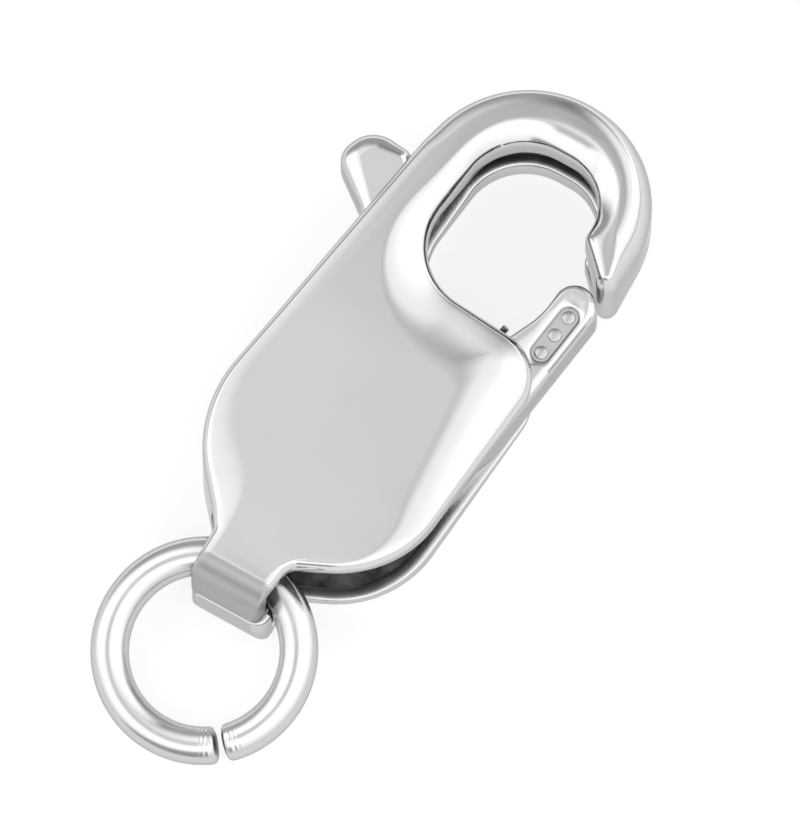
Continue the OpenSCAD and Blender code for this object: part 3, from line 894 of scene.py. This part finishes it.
# The spring's leg beside the gate: shares of the claw's width and length, and of the lever's thickness
SPRING_LEG = [(0.104, 0.053, 0.00), (0.115, 0.068, 0.06), (0.124, 0.079, 0.30), (0.134, 0.091, 0.56),
              (0.148, 0.106, 0.80), (0.171, 0.135, 1.06), (0.178, 0.144, 1.12)]
route = []
for step in range(int(360 * SPRING_TURNS / COIL_STEP_DEG) + 1):
    a = COIL_STEP_DEG * step
    w = math.radians(leg_angle - 360 * SPRING_TURNS + a)
    route.append((coil_r * math.cos(w), coil_r * math.sin(w), coil_z + coil_pitch * a / 360))
for x, y, rise in SPRING_LEG:
    route.append((x * CLAW_W, y * CLAW_L, coil_z + rise * LEVER_T))
line = bpy.data.meshes.new("spring_line")
line.from_pydata([tuple(c * MM for c in p) for p in route], [(i, i + 1) for i in range(len(route) - 1)], [])
spring = made_by("return_spring_wire", wire_tree(spring_steel), {"Wire": SPRING_D / 2 * MM}, line)
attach(spring, "lever")
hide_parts("return_spring")


def pip_tree(material):
    """A row of low round pips."""
    tree, nodes, links, start, end = node_tree("row_of_pips", [
        ("Count", "NodeSocketInt", 3), ("Pitch", "NodeSocketVector", (0, 0, 0)),
        ("First", "NodeSocketVector", (0, 0, 0)), ("Radius", "NodeSocketFloat", 1.0),
        ("Height", "NodeSocketFloat", 1.0)])
    row = nodes.new("GeometryNodeMeshLine")
    row.mode = "OFFSET"
    links.new(start.outputs["Count"], row.inputs["Count"])
    links.new(start.outputs["First"], row.inputs["Start Location"])
    links.new(start.outputs["Pitch"], row.inputs["Offset"])
    ball = nodes.new("GeometryNodeMeshUVSphere")
    ball.inputs["Segments"].default_value = 40
    ball.inputs["Rings"].default_value = 20
    ball.inputs["Radius"].default_value = 1.0
    size = nodes.new("ShaderNodeCombineXYZ")
    links.new(start.outputs["Radius"], size.inputs["X"])
    links.new(start.outputs["Radius"], size.inputs["Y"])
    links.new(start.outputs["Height"], size.inputs["Z"])
    spread = nodes.new("GeometryNodeInstanceOnPoints")
    links.new(row.outputs["Mesh"], spread.inputs["Points"])
    links.new(ball.outputs["Mesh"], spread.inputs["Instance"])
    links.new(size.outputs["Vector"], spread.inputs["Scale"])
    finish_tree(nodes, links, spread.outputs["Instances"], material, end)
    return tree


# How much of the panel's depth the pips fill
PIP_RISE = 0.7
pip_pitch = gate_axis * (PANEL_L - PANEL_W) / (PIP_COUNT - 1)
pip_first = panel_at - pip_pitch * (PIP_COUNT - 1) / 2
pips = made_by("gate_panel_pips", pip_tree(panel_silver), {
    "Count": PIP_COUNT, "Pitch": (pip_pitch[0] * MM, pip_pitch[1] * MM, 0.0),
    "First": (pip_first[0] * MM, pip_first[1] * MM, (gate_top - PANEL_DEEP) * MM),
    "Radius": PIP_D / 2 * MM, "Height": PANEL_DEEP * PIP_RISE * MM})
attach(pips, "lever")

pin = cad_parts["pivot_pin"]
pin.data.materials.clear()
pin.data.materials.append(pin_silver)


# Floor, light and camera

# The floor glows with painted light, strongest round the clasp where it fills in the clasp's shadow, and fading
# between two distances in millimetres
FLOOR_GREY = 0.40
FLOOR_GLOW, FLOOR_GLOW_FAR = 0.70, 0.25
GLOW_FADE_FROM, GLOW_FADE_TO = 15.0, 70.0


def studio_floor():
    mesh = bpy.data.meshes.new("floor")
    size, low = 0.6, -0.00001
    mesh.from_pydata([(-size, -size, low), (size, -size, low), (size, size, low), (-size, size, low)],
                     [], [(0, 1, 2, 3)])
    m, nodes, links, shader = new_material("floor_painted_glow")
    shader.inputs["Base Color"].default_value = (FLOOR_GREY, FLOOR_GREY, FLOOR_GREY, 1)
    shader.inputs["Emission Color"].default_value = (1, 1, 1, 1)
    away = nodes.new("ShaderNodeVectorMath")
    away.operation = "LENGTH"
    links.new(object_pattern(nodes, links, FINE, (0, 1, 0)), away.inputs[0])
    fade = nodes.new("ShaderNodeMapRange")
    fade.interpolation_type = "SMOOTHSTEP"
    fade.inputs["From Min"].default_value = GLOW_FADE_FROM
    fade.inputs["From Max"].default_value = GLOW_FADE_TO
    fade.inputs["To Min"].default_value = FLOOR_GLOW
    fade.inputs["To Max"].default_value = FLOOR_GLOW_FAR
    links.new(away.outputs["Value"], fade.inputs["Value"])
    links.new(fade.outputs["Result"], shader.inputs["Emission Strength"])
    shader.inputs["Roughness"].default_value = 0.9
    shader.inputs["Specular IOR Level"].default_value = 0.1
    mesh.materials.append(m)
    floor = bpy.data.objects.new("floor", mesh)
    bpy.context.scene.collection.objects.link(floor)


PSI = math.radians(60.2)
TILT = math.radians(72.5)
IMAGE_RIGHT = Vector((math.sin(PSI), math.cos(PSI), 0))
IMAGE_UP_FLAT = Vector((-math.cos(PSI), math.sin(PSI), 0))
TO_CAMERA = IMAGE_UP_FLAT * -math.cos(TILT) + Vector((0, 0, math.sin(TILT)))
IMAGE_UP = TO_CAMERA.cross(IMAGE_RIGHT)


# Brightness of the light tent: the opening overhead, the far side, the dim side and the strip towards it
GREY_OVERHEAD = 0.85
FAR_SIDE = 0.34
DIM_SIDE = 0.42
STRIP = 0.55


def studio_sky():
    """A white light tent with a soft grey opening overhead and a grey far side."""
    world = bpy.data.worlds.new("light_tent")
    bpy.context.scene.world = world
    world.use_nodes = True
    nodes, links = world.node_tree.nodes, world.node_tree.links
    nodes.clear()
    out = nodes.new("ShaderNodeOutputWorld")
    back = nodes.new("ShaderNodeBackground")
    back.inputs["Color"].default_value = (1, 1, 1, 1)
    coords = nodes.new("ShaderNodeTexCoord")

    def along(axis):
        n = nodes.new("ShaderNodeVectorMath")
        n.operation = "DOT_PRODUCT"
        n.inputs[1].default_value = axis
        links.new(coords.outputs["Generated"], n.inputs[0])
        return n.outputs["Value"]

    def soft(value, low, high, out_low=0.0, out_high=1.0):
        r = nodes.new("ShaderNodeMapRange")
        r.interpolation_type = "SMOOTHSTEP"
        r.inputs["From Min"].default_value = low
        r.inputs["From Max"].default_value = high
        r.inputs["To Min"].default_value = out_low
        r.inputs["To Max"].default_value = out_high
        links.new(value, r.inputs["Value"])
        return r.outputs["Result"]

    def op(kind, a, b):
        return maths(nodes, links, kind, a, b)

    def opposite(a):
        return op("SUBTRACT", 1.0, a)

    def mixed(share, a, b):
        """Brightness a where the share is 1, and b where it is 0."""
        return op("ADD", op("MULTIPLY", share, a), op("MULTIPLY", opposite(share), b))

    # Towards the picture's right and its top: 0 overhead, and 1 at the horizon
    height = along((0, 0, 1))
    below = op("ADD", height, 1.0)
    px = op("DIVIDE", along(tuple(IMAGE_RIGHT)), below)
    py = op("DIVIDE", along(tuple(IMAGE_UP_FLAT)), below)
    # White to the right and in front, up to two soft lines
    up = op("SUBTRACT", py, 0.154)
    rightwards = op("SUBTRACT", op("MULTIPLY", px, 0.951), op("MULTIPLY", op("MAXIMUM", up, 0.0), 0.309))
    to_right = soft(rightwards, 0.022, 0.085)
    falling = op("ADD", op("MULTIPLY", up, -1.0), op("MULTIPLY", px, 0.2))
    front = soft(falling, 0.02, 0.19)
    # A narrow strip runs through the white in front, towards the dim side of the room
    strip_off = op("ABSOLUTE", op("SUBTRACT", op("MULTIPLY", px, 0.86), op("MULTIPLY", up, 0.52)), 0.0)
    strip_at = op("SUBTRACT", op("MULTIPLY", up, -0.86), op("MULTIPLY", px, 0.52))
    strip = op("MULTIPLY", soft(strip_off, 0.13, 0.05), soft(strip_at, 0.44, 0.28))
    front = op("MULTIPLY", front, opposite(strip))
    white = opposite(op("MULTIPLY", opposite(to_right), opposite(front)))
    tent = op("MAXIMUM", soft(rightwards, 0.06, 0.24, 0.90, 1.14), soft(falling, 0.06, 0.24, 0.90, 1.14))
    # Grey overhead, lighter to the left, darker beside the white and behind
    beside = op("MULTIPLY", soft(rightwards, -0.05, 0.035), soft(py, 0.0, 0.3, 0.16, 0.38))
    behind = soft(py, 0.15, 0.48, 0.0, 0.44)
    to_left = soft(px, 0.0, -0.24, 0.0, 0.38)
    grey = op("SUBTRACT", op("SUBTRACT", op("ADD", GREY_OVERHEAD, to_left), beside), behind)
    # The far side behind, and the dim side low in front and to the left
    far = op("MULTIPLY", soft(py, 0.28, 0.56), soft(px, 0.6, 0.25))
    dim = op("MULTIPLY", soft(py, -0.46, -0.58), soft(px, 0.05, -0.08))
    strip = op("MULTIPLY", strip, soft(strip_at, 0.04, 0.24))
    value = mixed(far, FAR_SIDE, mixed(white, tent, grey))
    value = mixed(strip, STRIP, mixed(dim, DIM_SIDE, value))
    links.new(value, back.inputs["Strength"])
    links.new(back.outputs["Background"], out.inputs["Surface"])


# The view: the point at the picture's middle, the picture's width, and the camera's distance, in millimetres
VIEW_X, VIEW_Y = 0.0972, -0.9482
VIEW_WIDTH = 19.03
VIEW_DISTANCE = 600.0
SENSOR_MM = 36.0


def photo_camera():
    distance = VIEW_DISTANCE * MM
    target = Vector((VIEW_X * MM, VIEW_Y * MM, MID_Z * MM))
    data = bpy.data.cameras.new("camera")
    data.sensor_fit = "HORIZONTAL"
    data.sensor_width = SENSOR_MM
    data.lens = SENSOR_MM * VIEW_DISTANCE / VIEW_WIDTH
    data.clip_start = 0.01
    data.clip_end = 5.0
    camera = bpy.data.objects.new("camera", data)
    bpy.context.scene.collection.objects.link(camera)
    turn = Matrix((IMAGE_RIGHT, IMAGE_UP, TO_CAMERA)).transposed()
    camera.matrix_world = Matrix.Translation(target + TO_CAMERA * distance) @ turn.to_4x4()
    bpy.context.scene.camera = camera


studio_floor()
studio_sky()
photo_camera()
bpy.context.scene.view_settings.view_transform = "Standard"
